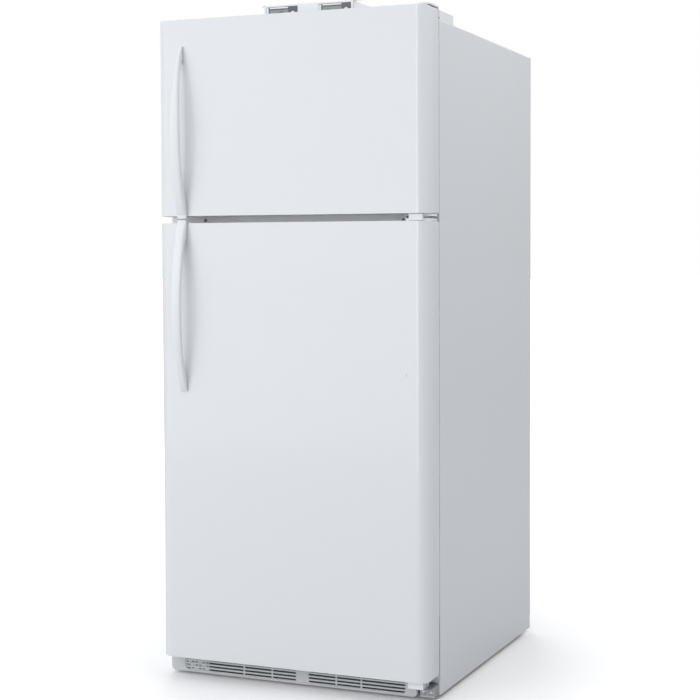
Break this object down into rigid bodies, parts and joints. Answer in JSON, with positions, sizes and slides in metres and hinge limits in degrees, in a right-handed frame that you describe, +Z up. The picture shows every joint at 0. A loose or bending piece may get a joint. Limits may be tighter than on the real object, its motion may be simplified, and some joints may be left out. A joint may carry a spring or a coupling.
{
  "type": "top freezer refrigerator",
  "caption": "White upright refrigerator with a freezer above, two hinged doors with bow handles, a toe grille and a two-display thermometer housing on top.",
  "frame": {"origin": "on the floor, at the middle of the overall width and depth (handles included)", "axes": "+Z up, front towards -Y, the doors hinged on the +X side"},
  "size_m": [0.752, 0.802, 1.719],
  "materials": {
    "paint": "satin white enamel with a very fine orange-peel texture",
    "liner_plastic": "satin white formed sheet",
    "white_plastic": "satin white moulding",
    "grey_plastic": "fine satin light grey moulding",
    "gasket_rubber": "matt white vinyl",
    "foam": "rigid polyurethane foam",
    "zinc": "zinc-plated sheet",
    "black_steel": "black enamel",
    "black_plastic": "fine matt black",
    "aluminium": "mill finish fins",
    "copper": "drawn copper tube",
    "glass": "clear tempered glass",
    "clear_plastic": "clear polystyrene",
    "dark_rubber": "matt black"
  },
  "bodies": {
    "cabinet": {"cabinet_shell": "paint", "insulation_foam": "foam", "freezer_liner": "liner_plastic", "fresh_food_liner": "liner_plastic", "mullion_rail": "paint", "back_panel": "zinc", "base_frame": "zinc", "toe_grille": "grey_plastic", "compressor": "black_steel", "condenser_coil": "copper", "condenser_fan_motor": "black_steel", "machine_cover": "zinc", "power_inlet": "black_plastic", "evaporator_cover": "liner_plastic", "evaporator_coil": "aluminium", "evaporator_fan_motor": "black_steel", "freezer_shelf": "white_plastic", "crisper_cover_frame": "white_plastic", "crisper_cover_glass": "glass", "lower_shelf_frame": "white_plastic", "lower_shelf_glass": "glass", "upper_shelf_frame": "white_plastic", "upper_shelf_glass": "glass", "control_box": "white_plastic", "top_hinge": "zinc", "top_hinge_cover": "white_plastic", "middle_hinge": "zinc", "hinge_spacer": "white_plastic", "bottom_hinge": "zinc", "thermometer_housing": "white_plastic", "thermometer_left": "grey_plastic", "thermometer_right": "grey_plastic"},
    "freezer_door": {"freezer_door_skin": "paint", "freezer_door_foam": "foam", "freezer_door_liner": "liner_plastic", "freezer_door_gasket": "gasket_rubber", "freezer_door_handle": "white_plastic", "freezer_door_bin": "clear_plastic"},
    "fridge_door": {"fridge_door_skin": "paint", "fridge_door_foam": "foam", "fridge_door_liner": "liner_plastic", "fridge_door_gasket": "gasket_rubber", "fridge_door_handle": "white_plastic", "fridge_door_bin_lower": "clear_plastic", "fridge_door_bin_upper": "clear_plastic", "door_hole_plug": "white_plastic", "door_cam": "white_plastic"},
    "crisper_left": {"crisper_left": "clear_plastic"},
    "crisper_right": {"crisper_right": "clear_plastic"},
    "fridge_control_knob": {"fridge_control_knob": "white_plastic"},
    "freezer_control_knob": {"freezer_control_knob": "white_plastic"},
    "door_switch_plunger": {"door_switch_plunger": "white_plastic"},
    "levelling_leg_left": {"levelling_leg_left": "dark_rubber"},
    "levelling_leg_right": {"levelling_leg_right": "dark_rubber"},
    "rear_roller_left": {"rear_roller_left": "grey_plastic"},
    "rear_roller_right": {"rear_roller_right": "grey_plastic"},
    "condenser_fan": {"condenser_fan": "black_plastic"},
    "evaporator_fan": {"evaporator_fan": "white_plastic"},
    "thermometer_button_left": {"thermometer_button_left": "white_plastic"},
    "thermometer_button_right": {"thermometer_button_right": "white_plastic"}
  },
  "joints": [
    {"name": "freezer_door_hinge", "type": "hinge", "parent": "cabinet", "child": "freezer_door", "pos_m": [0.354, -0.329, 1.435], "axis": [0, 0, 1], "range_deg": [0, 135]},
    {"name": "fridge_door_hinge", "type": "hinge", "parent": "cabinet", "child": "fridge_door", "pos_m": [0.354, -0.329, 0.6125], "axis": [0, 0, 1], "range_deg": [0, 135]},
    {"name": "crisper_left_slide", "type": "slide", "parent": "cabinet", "child": "crisper_left", "axis": [0, -1, 0], "range_m": [0, 0.06]},
    {"name": "crisper_right_slide", "type": "slide", "parent": "cabinet", "child": "crisper_right", "axis": [0, -1, 0], "range_m": [0, 0.06]},
    {"name": "fridge_control_knob_turn", "type": "hinge", "parent": "cabinet", "child": "fridge_control_knob", "pos_m": [-0.07, -0.224, 1.128], "axis": [0, -1, 0], "range_deg": [-135, 135]},
    {"name": "freezer_control_knob_turn", "type": "hinge", "parent": "cabinet", "child": "freezer_control_knob", "pos_m": [0.02, -0.224, 1.128], "axis": [0, -1, 0], "range_deg": [-135, 135]},
    {"name": "door_switch_press", "type": "slide", "parent": "cabinet", "child": "door_switch_plunger", "axis": [0, 1, 0], "range_m": [0, 0.006], "stiffness_N_per_m": 150},
    {"name": "levelling_leg_left_turn", "type": "hinge", "parent": "cabinet", "child": "levelling_leg_left", "pos_m": [-0.33, -0.2627, 0.004], "axis": [0, 0, 1], "range_deg": [-720, 720]},
    {"name": "levelling_leg_right_turn", "type": "hinge", "parent": "cabinet", "child": "levelling_leg_right", "pos_m": [0.33, -0.2627, 0.004], "axis": [0, 0, 1], "range_deg": [-720, 720]},
    {"name": "rear_roller_left_spin", "type": "hinge", "parent": "cabinet", "child": "rear_roller_left", "pos_m": [-0.354, 0.341, 0.018], "axis": [1, 0, 0], "continuous": true},
    {"name": "rear_roller_right_spin", "type": "hinge", "parent": "cabinet", "child": "rear_roller_right", "pos_m": [0.354, 0.341, 0.018], "axis": [1, 0, 0], "continuous": true},
    {"name": "condenser_fan_spin", "type": "hinge", "parent": "cabinet", "child": "condenser_fan", "pos_m": [-0.204, 0.281, 0.145], "axis": [1, 0, 0], "continuous": true},
    {"name": "evaporator_fan_spin", "type": "hinge", "parent": "cabinet", "child": "evaporator_fan", "pos_m": [0, 0.259, 1.522], "axis": [0, 1, 0], "continuous": true},
    {"name": "thermometer_button_left_press", "type": "slide", "parent": "cabinet", "child": "thermometer_button_left", "axis": [0, 1, 0], "range_m": [0, 0.0015], "stiffness_N_per_m": 400},
    {"name": "thermometer_button_right_press", "type": "slide", "parent": "cabinet", "child": "thermometer_button_right", "axis": [0, 1, 0], "range_m": [0, 0.0015], "stiffness_N_per_m": 400}
  ]
}
